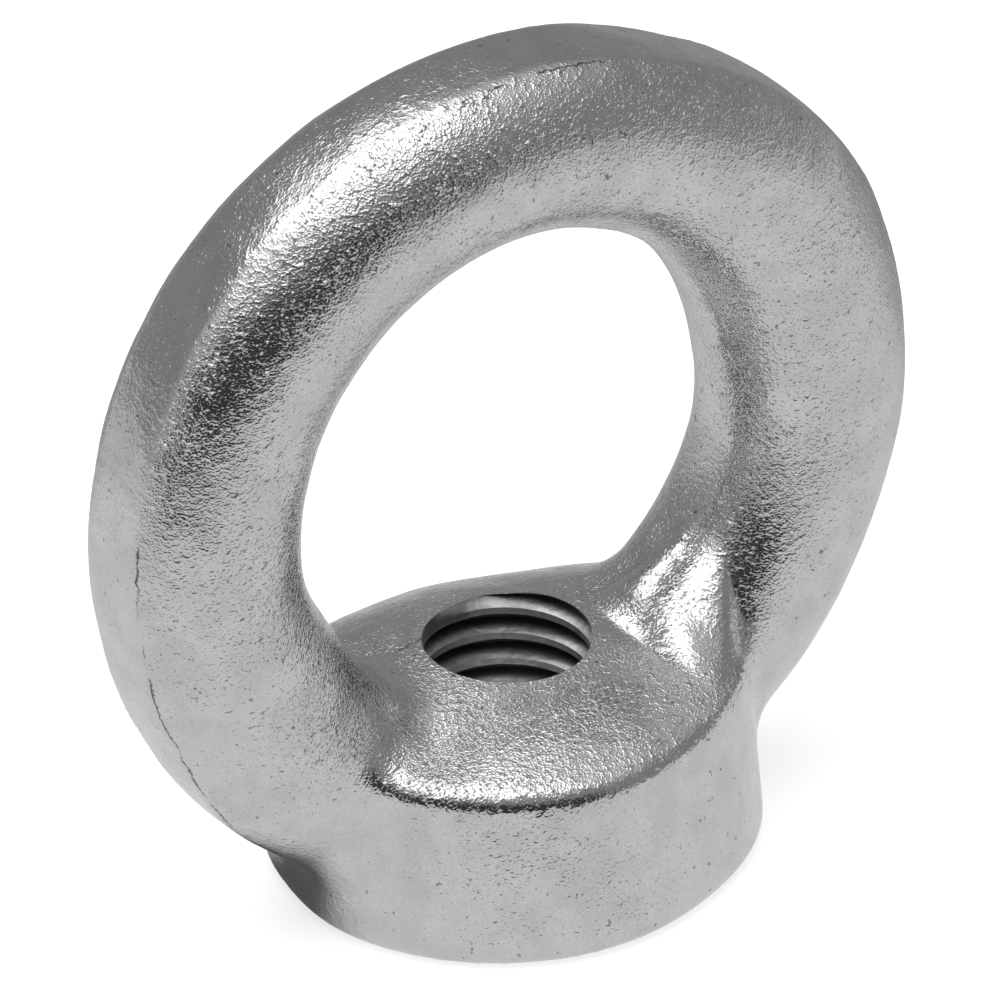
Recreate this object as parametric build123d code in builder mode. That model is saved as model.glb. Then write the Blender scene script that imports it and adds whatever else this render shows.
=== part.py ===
# Lifting eye nut, size M12: one steel forging, a ring standing on a round collar with a threaded hole
# up through it. Millimetres, +Z up. The origin is at the centre of the flat seat. The ring lies in the
# XZ plane, which is also the plane where the two halves of the forging die met.
import os
from math import sqrt

from build123d import *

# Ring, a bar of rounded section bent round the eye
eye_diameter = 30.0
bar_width = 12.0
bar_thickness = 12.0

# Flat belts round the outside and the inside of the ring, where the forging flash was trimmed off
outer_belt_width = 5.0
inner_belt_width = 3.6
belt_crown = 0.15
belt_edge_radius = 1.2

# Collar under the ring, round at the seat and oval at the rim, with a domed top
seat_diameter = 30.0
collar_width = 30.0
rim_depth = 26.0
rim_height = 10.4
crest_height = 14.3
crest_rise_into_eye = 2.8
dome_arch_radius = 48.0
rim_radius = 1.6
seat_edge_radius = 1.2

# Blend where the ring's legs grow out of the collar
leg_blend_radius = 4.0

# Hole for an M12 coarse thread, bored to the minor diameter and opened out at the seat
thread_diameter = 12.0
thread_pitch = 1.75
lead_in_clearance = 0.8

# Sizes that follow from the ones above
ring_outer_diameter = eye_diameter + 2 * bar_width
ring_center_height = crest_height - crest_rise_into_eye + eye_diameter / 2
bar_center_radius = (eye_diameter + bar_width) / 2
dome_rise = crest_height - rim_height
dome_cross_radius = ((rim_depth / 2) ** 2 + dome_rise**2) / (2 * dome_rise)
dome_axis_height = crest_height - dome_arch_radius
wall_taper = (seat_diameter - rim_depth) / rim_height
wall_depth_at_crest = seat_diameter - wall_taper * crest_height
# the thread's 60 degree triangles, of which an internal thread fills 5/8 on each side of the hole
thread_triangle_height = thread_pitch * sqrt(3) / 2
thread_minor_diameter = thread_diameter - 5 / 4 * thread_triangle_height
lead_in_diameter = thread_diameter + lead_in_clearance

# The bar's section is drawn beside the eye and turned about the eye's axis. Each shoulder of the bar is
# an arc that leaves the flat face tangentially and ends at the edge of a belt.
with BuildPart() as ring:
    with BuildSketch(Plane.XY.offset(ring_center_height)) as bar_section:
        with BuildLine():
            face_middle = (bar_center_radius, bar_thickness / 2)
            outer_belt_edge = (ring_outer_diameter / 2 - belt_crown, outer_belt_width / 2)
            inner_belt_edge = (eye_diameter / 2 + belt_crown, inner_belt_width / 2)
            TangentArc(face_middle, outer_belt_edge, tangent=(1, 0))
            TangentArc(face_middle, inner_belt_edge, tangent=(-1, 0))
            mirror(about=Plane.XZ)
            for belt_edge, belt_radius in (
                (outer_belt_edge, ring_outer_diameter / 2),
                (inner_belt_edge, eye_diameter / 2),
            ):
                ThreePointArc(belt_edge, (belt_radius, 0), (belt_edge[0], -belt_edge[1]))
        make_face()
        corners = bar_section.vertices().group_by(Axis.X)
        fillet(corners[0] + corners[-1], radius=belt_edge_radius)
    revolve(axis=Axis((0, 0, ring_center_height), (0, 1, 0)))
    # the lowest part of the ring would stand below the seat, so it is faced off with it
    split(bisect_by=Plane.XY, keep=Keep.TOP)

# The collar's wall draws in from the round seat to an oval rim. Its top is a dome: the arc across it is
# turned about a low axis, so that it also falls away towards the legs.
with BuildPart() as collar:
    with BuildSketch():
        Circle(seat_diameter / 2)
    with BuildSketch(Plane.XY.offset(crest_height)):
        Ellipse(collar_width / 2, wall_depth_at_crest / 2)
    loft(ruled=True)
    with BuildSketch(Plane.YZ):
        with BuildLine():
            across = CenterArc((0, crest_height - dome_cross_radius), dome_cross_radius, 0, 180)
            low_corners = (-dome_cross_radius, dome_axis_height), (dome_cross_radius, dome_axis_height)
            Polyline(across @ 1, *low_corners, across @ 0)
        make_face()
    revolve(axis=Axis((0, 0, dome_axis_height), (0, 1, 0)), mode=Mode.INTERSECT)
    dome = collar.faces().sort_by(Axis.Z)[-1]
    fillet(dome.edges(), radius=rim_radius)

# Ring and collar are one forging: each leg flows into the collar's wall, rim and dome all round.
with BuildPart() as eye_nut:
    add(collar.part)
    add(ring.part)
    leg_seams = new_edges(collar.part, ring.part, combined=eye_nut.part)
    fillet(leg_seams, radius=leg_blend_radius)

    seat = eye_nut.faces().sort_by(Axis.Z)[0]
    fillet(seat.edges(), radius=seat_edge_radius)

    with Locations((0, 0, crest_height)):
        Hole(thread_minor_diameter / 2, depth=crest_height)
    bore_mouth = eye_nut.edges().filter_by(GeomType.CIRCLE).group_by(Axis.Z)[0].sort_by(SortBy.RADIUS)[0]
    chamfer(bore_mouth, length=(lead_in_diameter - thread_minor_diameter) / 2)

os.makedirs("parts", exist_ok=True)
eye_nut.part.label = "eye_nut"
export_step(eye_nut.part, "parts/eye_nut.step")
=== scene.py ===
from math import atan2, cos, degrees, exp, hypot, pi, radians, sin, sqrt, tan

import bmesh
import bpy
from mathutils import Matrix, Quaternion, Vector, noise


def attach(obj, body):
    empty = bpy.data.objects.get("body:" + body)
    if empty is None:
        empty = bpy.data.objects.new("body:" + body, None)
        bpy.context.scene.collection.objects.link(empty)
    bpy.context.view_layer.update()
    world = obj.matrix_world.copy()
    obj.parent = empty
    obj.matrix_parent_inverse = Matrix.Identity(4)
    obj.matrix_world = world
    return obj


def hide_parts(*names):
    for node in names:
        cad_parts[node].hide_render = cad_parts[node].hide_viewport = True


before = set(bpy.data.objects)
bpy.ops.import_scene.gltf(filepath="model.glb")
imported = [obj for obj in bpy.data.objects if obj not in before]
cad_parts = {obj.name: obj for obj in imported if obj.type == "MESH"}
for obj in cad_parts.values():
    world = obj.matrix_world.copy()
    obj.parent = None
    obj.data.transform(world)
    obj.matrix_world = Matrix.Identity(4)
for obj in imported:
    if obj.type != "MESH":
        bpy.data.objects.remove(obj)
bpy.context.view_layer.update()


# Floor, a plain white sheet. It shows as white to the camera and keeps the soft shadow of the nut. In the
# metal it is a little less than white, with a painted shade behind and beside the nut.

MM = 0.001
collection = bpy.context.scene.collection
round_sides = 96
floor_radius = 170.0
floor_albedo = 0.82
floor_glow_to_camera = 0.62
floor_in_metal = 0.72
shade_behind = 0.58
shade_behind_span = (18.0, 85.0)
shade_beside = 0.85
shade_beside_place = (-14.0, 2.5, 0.0)
shade_beside_span = (8.5, 2.55)
away_from_camera = (0.515, 0.857, 0.0)


def add_node(tree, kind, **settings):
    """A new shader node, with the values of its own settings."""
    node = tree.nodes.new(kind)
    for name, value in settings.items():
        setattr(node, name, value)
    return node


def fill(tree, socket, value):
    """Links a socket to an input, or gives the input a constant."""
    if isinstance(value, bpy.types.NodeSocket):
        tree.links.new(value, socket)
    else:
        socket.default_value = value


def worked(tree, operation, *values):
    """The result of a math node on sockets or numbers."""
    node = add_node(tree, "ShaderNodeMath", operation=operation)
    for socket, value in zip(node.inputs, values):
        fill(tree, socket, value)
    return node.outputs[0]


def vector_worked(tree, operation, first, second=(0, 0, 0)):
    """The vector that a vector math node makes, or its value where it makes a number."""
    node = add_node(tree, "ShaderNodeVectorMath", operation=operation)
    fill(tree, node.inputs[0], first)
    fill(tree, node.inputs[1], second)
    return node.outputs["Value" if operation in ("DOT_PRODUCT", "LENGTH", "DISTANCE") else "Vector"]


def mask(tree, value, low, high):
    """0 where a value is at low, 1 where it is at high, and a smooth step between."""
    node = add_node(tree, "ShaderNodeMapRange", interpolation_type="SMOOTHSTEP")
    fill(tree, node.inputs["Value"], value)
    node.inputs["From Min"].default_value = low
    node.inputs["From Max"].default_value = high
    return node.outputs["Result"]


def mask_mm(tree, value, span):
    """A mask between two places that are given in millimetres."""
    return mask(tree, value, span[0] * MM, span[1] * MM)


floor_shape = bmesh.new()
bmesh.ops.create_circle(floor_shape, cap_ends=True, segments=round_sides, radius=floor_radius * MM)
floor_mesh = bpy.data.meshes.new("floor")
floor_shape.to_mesh(floor_mesh)
floor_shape.free()
floor = bpy.data.objects.new("floor", floor_mesh)
collection.objects.link(floor)

paper = bpy.data.materials.new("white_sheet")
paper.use_nodes = True
tree = paper.node_tree
tree.nodes.clear()
output = add_node(tree, "ShaderNodeOutputMaterial")
path = add_node(tree, "ShaderNodeLightPath")
place = add_node(tree, "ShaderNodeTexCoord").outputs["Object"]
matt = add_node(tree, "ShaderNodeBsdfDiffuse")
matt.inputs["Color"].default_value = (floor_albedo, floor_albedo, floor_albedo, 1)
glow = add_node(tree, "ShaderNodeEmission")
glow_strength = worked(tree, "MULTIPLY", path.outputs["Is Camera Ray"], floor_glow_to_camera)
fill(tree, glow.inputs["Strength"], glow_strength)
lit = add_node(tree, "ShaderNodeAddShader")
tree.links.new(matt.outputs[0], lit.inputs[0])
tree.links.new(glow.outputs[0], lit.inputs[1])
# Painted shade on the floor as the metal sees it: darker behind the nut and in a spot beside it.
behind = mask_mm(tree, vector_worked(tree, "DOT_PRODUCT", place, away_from_camera), shade_behind_span)
beside_distance = vector_worked(tree, "DISTANCE", place, [MM * c for c in shade_beside_place])
beside = mask_mm(tree, beside_distance, shade_beside_span)
left_behind = worked(tree, "MULTIPLY_ADD", behind, -shade_behind, 1.0)
left_beside = worked(tree, "MULTIPLY_ADD", beside, -shade_beside, 1.0)
seen_in_metal = add_node(tree, "ShaderNodeEmission")
floor_tone = worked(tree, "MULTIPLY", worked(tree, "MULTIPLY", left_behind, left_beside), floor_in_metal)
fill(tree, seen_in_metal.inputs["Strength"], floor_tone)
sheet = add_node(tree, "ShaderNodeMixShader")
tree.links.new(path.outputs["Is Glossy Ray"], sheet.inputs["Fac"])
tree.links.new(lit.outputs[0], sheet.inputs[1])
tree.links.new(seen_in_metal.outputs[0], sheet.inputs[2])
tree.links.new(sheet.outputs[0], output.inputs["Surface"])
floor_mesh.materials.append(paper)


# Camera, a long lens from the left front, a little above the nut and turned a little about its own axis.

view_azimuth = radians(-31.014)
view_elevation = radians(31.005)
view_roll = radians(-2.178)
view_distance = 1050.0
focal_length = 643.5
sensor_width = 36.0
aim_height = 25.6
aim_offset = (-0.035, -1.87)

camera_data = bpy.data.cameras.new("camera")
camera_data.lens = focal_length
camera_data.sensor_width = sensor_width
camera = bpy.data.objects.new("camera", camera_data)
collection.objects.link(camera)
toward_camera = Vector((
    sin(view_azimuth) * cos(view_elevation),
    -cos(view_azimuth) * cos(view_elevation),
    sin(view_elevation),
))
turn = toward_camera.to_track_quat("Z", "Y") @ Quaternion((0, 0, 1), view_roll)
aim = Vector((0, 0, aim_height)) + turn @ Vector((*aim_offset, 0))
camera.location = (aim + toward_camera * view_distance) * MM
camera.rotation_euler = turn.to_euler()
bpy.context.scene.camera = camera
bpy.context.scene.view_settings.view_transform = "Standard"


# Studio: a large soft box overhead, and a grey room that is lighter on the left and dark where the camera
# stands. The camera itself sees white all round. Each edge between two greys is soft and is given by the
# two heights, or the two cosines from a wall's direction, where it starts and ends.

wall_grey = 0.265
ceiling_grey = 0.54
left_wall_grey = 0.36
left_wall_top_grey = 0.75
left_wall_direction = (-0.95, -0.12, 0.30)
left_wall_edge = (0.72, 0.92)
left_wall_top_edge = (0.35, 0.70)
ceiling_edge = (0.62, 0.85)
far_floor_grey = 0.60
far_floor_behind_grey = 0.33
far_floor_behind_edge = (0.50, 0.85)
horizon_edge = (-0.05, 0.0)
camera_side_grey = 0.045
camera_side_direction = (-0.44, -0.90, 0.0)
camera_side_edge = (0.62, 0.85)
camera_side_foot = (-0.22, -0.12)
camera_side_top = (0.55, 0.32)
box_place = (-220.0, 75.0, 900.0)
box_width = 860.0
box_turn = radians(6)
box_depth = 1300.0
box_strength = 1.39


def grey(level):
    """A neutral colour."""
    return (level, level, level, 1)


def mixed(tree, factor, first, second):
    """The first colour where the factor is 0, the second where it is 1."""
    node = add_node(tree, "ShaderNodeMix", data_type="RGBA")
    tree.links.new(factor, node.inputs["Factor"])
    first_socket, second_socket = [s for s in node.inputs if s.type == "RGBA"]
    fill(tree, first_socket, first)
    fill(tree, second_socket, second)
    return [s for s in node.outputs if s.type == "RGBA"][0]


lamp = bpy.data.lights.new("overhead_soft_box", "AREA")
lamp.shape = "RECTANGLE"
lamp.size = box_width * MM
lamp.size_y = box_depth * MM
lamp.energy = box_strength * pi * lamp.size * lamp.size_y
soft_box = bpy.data.objects.new("overhead_soft_box", lamp)
soft_box.location = Vector(box_place) * MM
soft_box.rotation_euler.z = box_turn
collection.objects.link(soft_box)

studio = bpy.data.worlds.new("studio")
bpy.context.scene.world = studio
studio.use_nodes = True
tree = studio.node_tree
tree.nodes.clear()
output = add_node(tree, "ShaderNodeOutputWorld")
sight = add_node(tree, "ShaderNodeTexCoord").outputs["Generated"]
height = vector_worked(tree, "DOT_PRODUCT", sight, (0, 0, 1))
level_sight = vector_worked(tree, "NORMALIZE", vector_worked(tree, "MULTIPLY", sight, (1, 1, 0)))
left = vector_worked(tree, "DOT_PRODUCT", sight, Vector(left_wall_direction).normalized())
front = vector_worked(tree, "DOT_PRODUCT", level_sight, Vector(camera_side_direction).normalized())
left_wall_top = mask(tree, height, *left_wall_top_edge)
left_wall = mixed(tree, left_wall_top, grey(left_wall_grey), grey(left_wall_top_grey))
walls = mixed(tree, mask(tree, height, *ceiling_edge), grey(wall_grey), grey(ceiling_grey))
walls = mixed(tree, mask(tree, left, *left_wall_edge), walls, left_wall)
away = vector_worked(tree, "DOT_PRODUCT", level_sight, away_from_camera)
beyond = mask(tree, away, *far_floor_behind_edge)
far_floor = mixed(tree, beyond, grey(far_floor_grey), grey(far_floor_behind_grey))
walls = mixed(tree, mask(tree, height, *horizon_edge), far_floor, walls)
above_foot = mask(tree, height, *camera_side_foot)
dark_height = worked(tree, "MULTIPLY", above_foot, mask(tree, height, *camera_side_top))
dark = worked(tree, "MULTIPLY", mask(tree, front, *camera_side_edge), dark_height)
walls = mixed(tree, dark, walls, grey(camera_side_grey))
room = add_node(tree, "ShaderNodeBackground")
tree.links.new(walls, room.inputs["Color"])
backdrop = add_node(tree, "ShaderNodeBackground")
backdrop.inputs["Color"].default_value = grey(1.0)
path = add_node(tree, "ShaderNodeLightPath")
blend = add_node(tree, "ShaderNodeMixShader")
tree.links.new(path.outputs["Is Camera Ray"], blend.inputs["Fac"])
tree.links.new(room.outputs[0], blend.inputs[1])
tree.links.new(backdrop.outputs[0], blend.inputs[2])
tree.links.new(blend.outputs[0], output.inputs["Surface"])


# Forging: the ring, its legs and the collar, one piece of zinc plated steel. The part's mesh is made even by
# a remesh with the hole plugged, then the right leg gets a fuller blend in front and the curves get the
# unevenness of a forging.

mesh_step = 0.3
ring_center_height = 26.5
ring_outer_radius = 27.0
eye_radius = 15.0
bar_center_radius = (ring_outer_radius + eye_radius) / 2
bar_radius = (ring_outer_radius - eye_radius) / 2
seat_radius = 15.0
rim_half_depth = 13.0
rim_height = 10.4
crest_height = 14.3
dome_cross_radius = 23.62
dome_arch_radius = 48.0
plug_radius = 6.8
same_point = 0.002
dome_trim_radius = 6.0
dome_trim_heights = (8.0, 18.0)
seat_trim_radius = 13.6
seat_edge_trim = 0.3

# The fuller blend in front of the right leg: its radius, where it sets in along X and towards the front, how
# much of it is lost further to the front, and where it ends at the collar's wall.
right_leg_blend = 7.2
blend_along_x = (4.8, 9.2)
blend_from_back = (2.5, -1.6)
blend_front_loss = 0.35
blend_loss_span = (-1.6, -9.0)
blend_at_wall = (0.2, -1.3)
blend_least = 1.0
blend_below_rim = 2.0
blend_passes = 4
blend_share_of_pass = 0.7

# Waves of the skin, each with its height and length, and the heights over the seat where they set in.
skin_waves = ((0.10, 7.0), (0.04, 2.6), (0.015, 1.1))
waves_from_seat = (0.4, 6.0)

# How far the ring's outer edge, the eye's edge and the collar's wall stand off their true curves: angle,
# angular width and offset in millimetres. The ring's angles start at +X and go up, the wall's at +X and go
# round the back.
outer_edge_humps = (
    (-27, 14, -0.37), (33, 14, 0.4), (64, 13, -0.3), (98, 18, -0.22), (142, 14, 0.09), (192, 22, -0.23),
    (219, 8, 0.25),
)
eye_edge_humps = ((88, 42, 0.5), (13, 20, -0.55), (-50, 16, -0.3), (176, 22, -0.12), (207, 15, -0.75))
wall_humps = ((-65, 28, -0.55), (172, 14, -0.25))
ring_humps_outward = (10.0, 17.0)
ring_humps_upward = (2.0, 6.0)
wall_humps_outward = (9.0, 13.0)
wall_humps_end = (7.0, 12.0)

# The rim behind the right leg lies a little low: by how much, where along X and how wide, and the spans
# towards the back and upward in which it shows.
rear_rim_sink = 0.7
rear_rim_place = 9.0
rear_rim_width = 5.5
rear_rim_backward = (3.0, 12.0)
rear_rim_foot = (5.0, 9.5)
rear_rim_top = (14.0, 17.0)


def rise(low, high, value):
    """0 before low, 1 past high, and a smooth step between them."""
    t = min(1.0, max(0.0, (value - low) / (high - low)))
    return t * t * (3 - 2 * t)


def unevenness(angle, humps):
    """The sum of all humps at an angle, in millimetres."""
    total = 0.0
    for center, width, offset in humps:
        turned = (angle - center + 180) % 360 - 180
        total += offset * exp(-((turned / width) ** 2))
    return total


def dome_height(x, y):
    """Height of the collar's domed top over a point of the seat."""
    across = crest_height - dome_cross_radius + sqrt(dome_cross_radius**2 - y * y)
    axis = crest_height - dome_arch_radius
    return axis + sqrt((across - axis) ** 2 - x * x)


def fuller_blend(place):
    """How far a place at the front root of the right leg lies inside the fuller blend onto the dome."""
    x, y, z = place
    half_depth = seat_radius - (seat_radius - rim_half_depth) * z / rim_height
    to_wall = hypot(x, y * seat_radius / half_depth) - seat_radius
    blend = right_leg_blend * rise(*blend_along_x, x) * rise(*blend_from_back, y)
    blend *= 1 - blend_front_loss * rise(*blend_loss_span, y)
    blend *= rise(*blend_at_wall, to_wall)
    if blend < blend_least or not rim_height - blend_below_rim < z < ring_center_height:
        return 0.0
    to_ring = hypot(hypot(x, z - ring_center_height) - bar_center_radius, y) - bar_radius
    to_dome = z - dome_height(x, y)
    overlap = max(blend - abs(to_ring - to_dome), 0) / blend
    return max(0.0, overlap**2 * blend / 4 - min(to_ring, to_dome))


def apply_modifiers(piece):
    """Replaces a piece's mesh by what its modifiers make of it."""
    graph = bpy.context.evaluated_depsgraph_get()
    finished = bpy.data.meshes.new_from_object(piece.evaluated_get(graph))
    piece.modifiers.clear()
    piece.data = finished


shape = bmesh.new()
shape.from_mesh(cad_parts["eye_nut"].data)
bmesh.ops.scale(shape, vec=(1 / MM, 1 / MM, 1 / MM), verts=shape.verts)
bmesh.ops.remove_doubles(shape, verts=shape.verts, dist=same_point)
plug = bmesh.ops.create_cone(
    shape, cap_ends=True, segments=round_sides, radius1=plug_radius, radius2=plug_radius, depth=crest_height
)
for vertex in plug["verts"]:
    on_top = vertex.co.z > 0
    vertex.co.z = dome_height(vertex.co.x, vertex.co.y) if on_top else 0.0
forging_mesh = bpy.data.meshes.new("forging")
shape.to_mesh(forging_mesh)
shape.free()
forging = bpy.data.objects.new("forging", forging_mesh)
collection.objects.link(forging)
remesh = forging.modifiers.new("even_mesh", "REMESH")
remesh.mode = "VOXEL"
remesh.voxel_size = mesh_step
apply_modifiers(forging)

shape = bmesh.new()
shape.from_mesh(forging.data)
for vertex in shape.verts:
    x, y, z = vertex.co
    if hypot(x, y) < dome_trim_radius and dome_trim_heights[0] < z < dome_trim_heights[1]:
        vertex.co.z = dome_height(x, y)
    if z < (mesh_step if hypot(x, y) < seat_trim_radius else seat_edge_trim * mesh_step):
        vertex.co.z = 0.0
for _ in range(blend_passes):
    shape.normal_update()
    for vertex in shape.verts:
        vertex.co += vertex.normal * fuller_blend(vertex.co) * blend_share_of_pass
shape.normal_update()
for vertex in shape.verts:
    place = vertex.co.copy()
    waves = sum(height * noise.noise(place / length) for height, length in skin_waves)
    vertex.co += vertex.normal * waves * rise(*waves_from_seat, place.z)

    from_center = Vector((place.x, 0, place.z - ring_center_height))
    ring_angle = degrees(atan2(from_center.z, from_center.x))
    outward = rise(eye_radius, ring_outer_radius, from_center.length)
    outer = unevenness(ring_angle, outer_edge_humps) * outward
    inner = unevenness(ring_angle, eye_edge_humps) * (1 - outward)
    in_ring = rise(*ring_humps_outward, from_center.length) * rise(*ring_humps_upward, place.z)
    vertex.co += from_center.normalized() * (outer + inner) * in_ring

    from_axis = Vector((place.x, place.y, 0))
    wall_angle = degrees(atan2(place.y, place.x))
    in_wall = rise(*wall_humps_outward, from_axis.length) * (1 - rise(*wall_humps_end, place.z))
    vertex.co += from_axis.normalized() * unevenness(wall_angle, wall_humps) * in_wall

    rear_rim = rise(*rear_rim_backward, place.y) * rise(*rear_rim_foot, place.z)
    rear_rim *= 1 - rise(*rear_rim_top, place.z)
    vertex.co.z -= rear_rim_sink * rear_rim * exp(-(((place.x - rear_rim_place) / rear_rim_width) ** 2))
shape.to_mesh(forging.data)
shape.free()


# Thread and countersink, cut into the forging: a right-handed M12 coarse thread, made with a tap that is a
# solid screw, and a cone at the seat. Both leave bare or lightly plated steel of their own materials.

thread_pitch = 1.75
thread_major_radius = 6.0
thread_depth = 5 / 8 * thread_pitch * sqrt(3) / 2
thread_minor_radius = thread_major_radius - thread_depth
crest_flat = thread_pitch / 4
root_flat = thread_pitch / 8
flank_angle = radians(30)
flank_run = thread_depth * tan(flank_angle)
thread_run_out = (13.3, 13.95)
same_screw_point = 0.001
steps_per_turn = 64
turns = 11
tap_start = -1.78
tap_bottom = -1.0
tap_top = crest_height + 1.2
countersink_radius = 6.4
countersink_overshoot = 1.0


def tool_object(name, shape):
    """An object made of a closed bmesh, used only to cut."""
    bmesh.ops.recalc_face_normals(shape, faces=shape.faces)
    mesh = bpy.data.meshes.new(name)
    shape.to_mesh(mesh)
    shape.free()
    tool = bpy.data.objects.new(name, mesh)
    collection.objects.link(tool)
    return tool


screw = bmesh.new()
profile_points = (
    (thread_minor_radius, 0),
    (thread_minor_radius, crest_flat),
    (thread_major_radius, crest_flat + flank_run),
    (thread_major_radius, crest_flat + flank_run + root_flat),
    (thread_minor_radius, thread_pitch),
)
profile = [screw.verts.new((radius, 0, tap_start + height)) for radius, height in profile_points]
profile_edges = [screw.edges.new(pair) for pair in zip(profile, profile[1:])]
bmesh.ops.spin(
    screw,
    geom=profile + profile_edges,
    axis=(0, 0, 1),
    cent=(0, 0, 0),
    dvec=(0, 0, thread_pitch / steps_per_turn),
    angle=2 * pi * turns,
    steps=steps_per_turn * turns,
    use_merge=False,
)
bmesh.ops.remove_doubles(screw, verts=screw.verts, dist=same_screw_point)
for vertex in screw.verts:
    radius = hypot(vertex.co.x, vertex.co.y)
    groove_left = 1 - rise(*thread_run_out, vertex.co.z)
    faded = thread_minor_radius + (radius - thread_minor_radius) * groove_left
    vertex.co.x *= faded / radius
    vertex.co.y *= faded / radius
for height, outward in ((tap_bottom, -1), (tap_top, 1)):
    cut = bmesh.ops.bisect_plane(
        screw,
        geom=screw.verts[:] + screw.edges[:] + screw.faces[:],
        plane_co=(0, 0, height),
        plane_no=(0, 0, outward),
        clear_outer=True,
    )
    end_edges = [item for item in cut["geom_cut"] if isinstance(item, bmesh.types.BMEdge)]
    bmesh.ops.contextual_create(screw, geom=end_edges)
tap = tool_object("tap", screw)

cone = bmesh.new()
cone_depth = countersink_radius - thread_minor_radius + 2 * countersink_overshoot
bmesh.ops.create_cone(
    cone,
    cap_ends=True,
    segments=round_sides,
    radius1=countersink_radius + countersink_overshoot,
    radius2=thread_minor_radius - countersink_overshoot,
    depth=cone_depth,
)
bmesh.ops.translate(cone, verts=cone.verts, vec=(0, 0, cone_depth / 2 - countersink_overshoot))
countersink = tool_object("countersink", cone)


def new_metal(name, colour, roughness):
    """A metal's material, its node tree and its shader."""
    material = bpy.data.materials.new(name)
    material.use_nodes = True
    shader = material.node_tree.nodes["Principled BSDF"]
    shader.inputs["Metallic"].default_value = 1.0
    shader.inputs["Base Color"].default_value = (*colour, 1)
    shader.inputs["Roughness"].default_value = roughness
    return material, material.node_tree, shader


def new_group(name, outputs):
    """A node group that works from a place on the object, with its input socket and its output node."""
    group = bpy.data.node_groups.new(name, "ShaderNodeTree")
    group.interface.new_socket("Place", in_out="INPUT", socket_type="NodeSocketVector")
    for title, kind in outputs:
        group.interface.new_socket(title, in_out="OUTPUT", socket_type=kind)
    return group, add_node(group, "NodeGroupInput").outputs["Place"], add_node(group, "NodeGroupOutput")


def spots(tree, place, spots_per_mm, detail=1.0):
    """Soft noise."""
    node = add_node(tree, "ShaderNodeTexNoise")
    node.inputs["Scale"].default_value = spots_per_mm / MM
    node.inputs["Detail"].default_value = detail
    tree.links.new(place, node.inputs["Vector"])
    return node.outputs["Fac"]


def blotches(tree, place, spots_per_mm, detail, low, high):
    """Irregular patches: where soft noise passes from its level low to its level high."""
    return mask(tree, spots(tree, place, spots_per_mm, detail), low, high)


def bowls(tree, place, bowls_per_mm, sharpness):
    """Overlapping bowls with a ridge between them; a sharper one is flatter in the middle."""
    node = add_node(tree, "ShaderNodeTexVoronoi", feature="F1")
    node.inputs["Scale"].default_value = bowls_per_mm / MM
    tree.links.new(place, node.inputs["Vector"])
    return worked(tree, "POWER", node.outputs["Distance"], sharpness)


def use_group(tree, group):
    """A node of the group, fed with object coordinates."""
    node = add_node(tree, "ShaderNodeGroup", node_tree=group)
    tree.links.new(add_node(tree, "ShaderNodeTexCoord").outputs["Object"], node.inputs["Place"])
    return node


def add_bump(tree, height, shader):
    """Gives a shader the slopes of a height in millimetres."""
    bump = add_node(tree, "ShaderNodeBump")
    bump.inputs["Distance"].default_value = MM
    tree.links.new(height, bump.inputs["Height"])
    tree.links.new(bump.outputs["Normal"], shader.inputs["Normal"])


# Grain left by the blasting shot, weaker on the flash belts, on the collar's wall and at the front root of
# the right leg. Dimples are given by their number per millimetre, sharpness and depth, and blotches by
# spots per millimetre, detail and two levels of the noise. Spans are in millimetres.
belt_edge_span = (2.7, 2.4)
belt_radius_span = (26.2, 26.5)
belt_grain_loss = 0.6
wall_top_span = (9.8, 12.0)
wall_grain = 0.38
root_place = (10.0, -4.0, 14.5)
root_span = (6.0, 2.5)
root_grain_loss = 0.55
strong_blotches = (0.26, 2.0, 0.30, 0.55)
weak_grain = 0.55
strong_grain_gain = 0.43
fine_grain_per_mm = 9.0
fine_grain_depth = 0.009
dimples = ((6.6, 4.0, 0.043), (3.0, 5.0, 0.062))
swell_per_mm = 1.6
swell_depth = 0.022

group, place, group_out = new_group("blasted_grain", [("Height", "NodeSocketFloat")])
split = add_node(group, "ShaderNodeSeparateXYZ")
group.links.new(place, split.inputs[0])
from_eye = vector_worked(group, "SUBTRACT", place, (0, 0, ring_center_height * MM))
from_eye = vector_worked(group, "LENGTH", vector_worked(group, "MULTIPLY", from_eye, (1, 0, 1)))
off_middle = worked(group, "ABSOLUTE", split.outputs["Y"])
near_middle = mask_mm(group, off_middle, belt_edge_span)
in_belt = worked(group, "MULTIPLY", near_middle, mask_mm(group, from_eye, belt_radius_span))
off_belt = worked(group, "MULTIPLY_ADD", in_belt, -belt_grain_loss, 1.0)
over_wall = mask_mm(group, split.outputs["Z"], wall_top_span)
off_wall = worked(group, "MULTIPLY_ADD", over_wall, 1 - wall_grain, wall_grain)
from_root = vector_worked(group, "DISTANCE", place, [MM * c for c in root_place])
off_root = worked(group, "MULTIPLY_ADD", mask_mm(group, from_root, root_span), -root_grain_loss, 1.0)
patches = blotches(group, place, *strong_blotches)
vigour = worked(group, "MULTIPLY_ADD", patches, strong_grain_gain, weak_grain)
for left_over in (off_belt, off_wall, off_root):
    vigour = worked(group, "MULTIPLY", vigour, left_over)
grain = worked(group, "MULTIPLY", spots(group, place, fine_grain_per_mm), fine_grain_depth)
for per_mm, sharpness, depth in dimples:
    grain = worked(group, "MULTIPLY_ADD", bowls(group, place, per_mm, sharpness), depth, grain)
grain = worked(group, "MULTIPLY", grain, vigour)
grain = worked(group, "MULTIPLY_ADD", spots(group, place, swell_per_mm), swell_depth, grain)
group.links.new(grain, group_out.inputs["Height"])
blasted_grain = group
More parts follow.
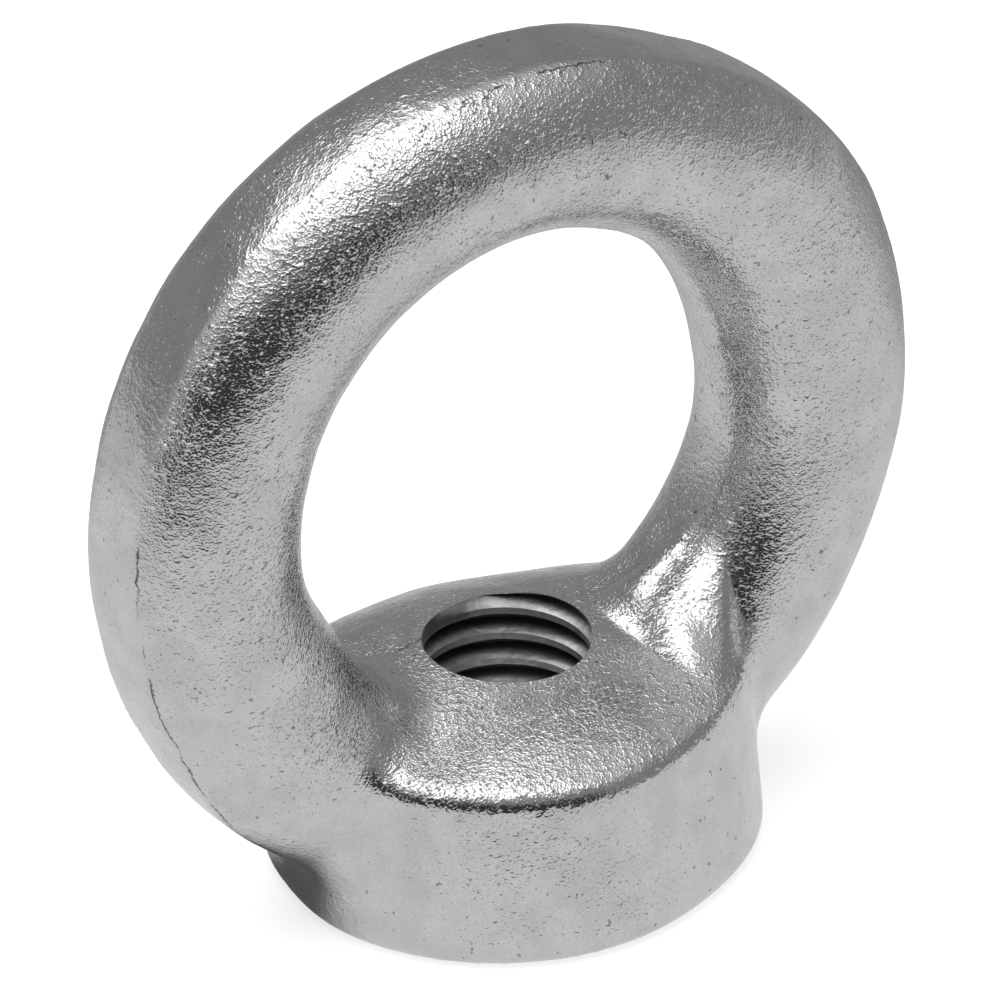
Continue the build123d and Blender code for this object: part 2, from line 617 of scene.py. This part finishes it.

# Tone of the zinc: slow clouds and a fine speckle; dark spots for pits, their darkness painted shade; and
# painted shade of creases, dark lines that wander along the front edge of the outer belt, low on the left
# and at the very top, and beside the hole on the dome.
zinc_colour = (0.70, 0.70, 0.71)
dull_zinc = (0.66, 0.66, 0.67, 1)
bright_zinc = (0.73, 0.73, 0.74, 1)
cloud_blotches = (0.42, 3.0, 0.35, 0.65)
speckle_blotches = (7.0, 2.0, 0.32, 0.68)
speckle_share = 0.16
speckle_grey = 0.25
pit_blotches = (2.4, 2.0, 0.31, 0.26)
pit_shade_share = 0.7
pit_shade_grey = 0.12
slow_wander_per_mm = 0.8
slow_wander = 0.5
quick_wander_per_mm = 3.6
quick_wander_detail = 3.0
quick_wander = 0.36
belt_crease_in_front = 2.75
belt_crease_width = (0.09, 0.02)
left_crease_below = (34.0, 30.0)
left_crease_beyond = (-17.0, -18.0)
top_crease_above = (52.0, 52.6)
top_crease_right_of = (-4.0, -3.0)
dome_crease_behind = 2.8
dome_crease_width = (0.10, 0.04)
dome_crease_right_end = (-3.6, -4.0)
dome_crease_left_end = (-7.0, -6.0)
dome_crease_below = (16.0, 15.0)
crease_blotches = (0.45, 1.0, 0.42, 0.52)
crease_shade_share = 0.85
crease_shade_grey = 0.06
dull_roughness = 0.10
bright_roughness_drop = 0.03

group, place, group_out = new_group(
    "plating_tone_and_painted_shade", [("Color", "NodeSocketColor"), ("Roughness", "NodeSocketFloat")]
)
clouds = blotches(group, place, *cloud_blotches)
speckle = blotches(group, place, *speckle_blotches)
plate = mixed(group, clouds, dull_zinc, bright_zinc)
plate = mixed(group, worked(group, "MULTIPLY", speckle, speckle_share), plate, grey(speckle_grey))
# Painted shade: dark spots for pits.
painted_pit_shade = blotches(group, place, *pit_blotches)
plate = mixed(group, worked(group, "MULTIPLY", painted_pit_shade, pit_shade_share), plate, grey(pit_shade_grey))
split = add_node(group, "ShaderNodeSeparateXYZ")
group.links.new(place, split.inputs[0])
x, y, z = [split.outputs[name] for name in "XYZ"]
slow = spots(group, place, slow_wander_per_mm)
quick = spots(group, place, quick_wander_per_mm, quick_wander_detail)
wander = worked(group, "MULTIPLY_ADD", slow, slow_wander * MM, -slow_wander / 2 * MM)
wander = worked(group, "MULTIPLY_ADD", quick, quick_wander * MM, wander)
wander = worked(group, "SUBTRACT", wander, quick_wander / 2 * MM)
wandered = worked(group, "ADD", y, wander)
belt_edge_gap = worked(group, "ABSOLUTE", worked(group, "ADD", wandered, belt_crease_in_front * MM))
dome_gap = worked(group, "ABSOLUTE", worked(group, "SUBTRACT", wandered, dome_crease_behind * MM))
low_down = mask_mm(group, z, left_crease_below)
on_left = worked(group, "MULTIPLY", low_down, mask_mm(group, x, left_crease_beyond))
high_up = mask_mm(group, z, top_crease_above)
on_top = worked(group, "MULTIPLY", high_up, mask_mm(group, x, top_crease_right_of))
on_belt = worked(group, "MAXIMUM", on_left, on_top)
at_edge = worked(group, "MULTIPLY", mask_mm(group, belt_edge_gap, belt_crease_width), on_belt)
on_dome = mask_mm(group, x, dome_crease_right_end)
on_dome = worked(group, "MULTIPLY", on_dome, mask_mm(group, x, dome_crease_left_end))
on_dome = worked(group, "MULTIPLY", on_dome, mask_mm(group, z, dome_crease_below))
beside_hole = worked(group, "MULTIPLY", mask_mm(group, dome_gap, dome_crease_width), on_dome)
# Painted shade: dark lines along the creases, broken up by blotches.
broken = blotches(group, place, *crease_blotches)
painted_crease_shade = worked(group, "MULTIPLY", worked(group, "MAXIMUM", at_edge, beside_hole), broken)
plate = mixed(group, worked(group, "MULTIPLY", painted_crease_shade, crease_shade_share), plate, grey(crease_shade_grey))
group.links.new(plate, group_out.inputs["Color"])
roughness = worked(group, "MULTIPLY_ADD", clouds, -bright_roughness_drop, dull_roughness)
group.links.new(roughness, group_out.inputs["Roughness"])
plating_tone_and_painted_shade = group

zinc_skin, tree, shader = new_metal("zinc_skin", zinc_colour, dull_roughness)
tone = use_group(tree, plating_tone_and_painted_shade)
tree.links.new(tone.outputs["Color"], shader.inputs["Base Color"])
tree.links.new(tone.outputs["Roughness"], shader.inputs["Roughness"])
add_bump(tree, use_group(tree, blasted_grain).outputs["Height"], shader)

# The thread is bright on the crests, and its grooves are darkened with painted shade.
thread_roughness = 0.36
thread_colour = (0.5, 0.5, 0.5)
groove_inset = (0.15, 0.25)
wear_per_mm = 1.6
wear_detail = 3.0
worn_crest_grey = 0.78
dull_crest_grey = 0.38
groove_shade_grey = 0.16
tool_marks_per_mm = 3.0
tool_marks_detail = 2.0
tool_marks_depth = 0.03

group, place, group_out = new_group(
    "thread_wear_and_groove_shade", [("Color", "NodeSocketColor"), ("Height", "NodeSocketFloat")]
)
radius = vector_worked(group, "LENGTH", vector_worked(group, "MULTIPLY", place, (1, 1, 0)))
groove_span = (thread_minor_radius + groove_inset[0], thread_major_radius - groove_inset[1])
wear = spots(group, place, wear_per_mm, wear_detail)
crest = mixed(group, wear, grey(dull_crest_grey), grey(worn_crest_grey))
# Painted shade: a darker grey in the grooves between the crests.
groove_shade = mask_mm(group, radius, groove_span)
group.links.new(mixed(group, groove_shade, crest, grey(groove_shade_grey)), group_out.inputs["Color"])
tool_marks = spots(group, place, tool_marks_per_mm, tool_marks_detail)
tool_marks = worked(group, "MULTIPLY", tool_marks, tool_marks_depth)
group.links.new(tool_marks, group_out.inputs["Height"])
cut_thread, tree, shader = new_metal("cut_thread", thread_colour, thread_roughness)
tone = use_group(tree, group)
tree.links.new(tone.outputs["Color"], shader.inputs["Base Color"])
add_bump(tree, tone.outputs["Height"], shader)

# The seat was turned on a lathe, which left fine rings.
seat_roughness = 0.24
turning_feed = 0.25
turning_depth = 0.004

group, place, group_out = new_group("turning_rings", [("Height", "NodeSocketFloat")])
radius = vector_worked(group, "LENGTH", vector_worked(group, "MULTIPLY", place, (1, 1, 0)))
rings = worked(group, "SINE", worked(group, "MULTIPLY", radius, 2 * pi / (turning_feed * MM)))
group.links.new(worked(group, "MULTIPLY", rings, turning_depth), group_out.inputs["Height"])
turned_seat, tree, shader = new_metal("turned_seat", zinc_colour, seat_roughness)
add_bump(tree, use_group(tree, group).outputs["Height"], shader)

forging.data.materials.clear()
forging.data.materials.append(zinc_skin)
tap.data.materials.append(cut_thread)
countersink.data.materials.append(turned_seat)
for tool in (tap, countersink):
    cut = forging.modifiers.new(tool.name, "BOOLEAN")
    cut.object = tool
    cut.operation = "DIFFERENCE"
    cut.solver = "EXACT"
    cut.material_mode = "TRANSFER"
apply_modifiers(forging)
for tool in (tap, countersink):
    bpy.data.objects.remove(tool)

crease_angle = radians(38)
seat_material = forging.data.materials.find("turned_seat")
shape = bmesh.new()
shape.from_mesh(forging.data)
for face in shape.faces:
    face.smooth = True
    if all(vertex.co.z == 0 for vertex in face.verts):
        face.material_index = seat_material
for edge in shape.edges:
    edge.smooth = edge.calc_face_angle(0.0) < crease_angle
bmesh.ops.scale(shape, vec=(MM, MM, MM), verts=shape.verts)
shape.to_mesh(forging.data)
shape.free()

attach(forging, "root")
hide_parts("eye_nut")
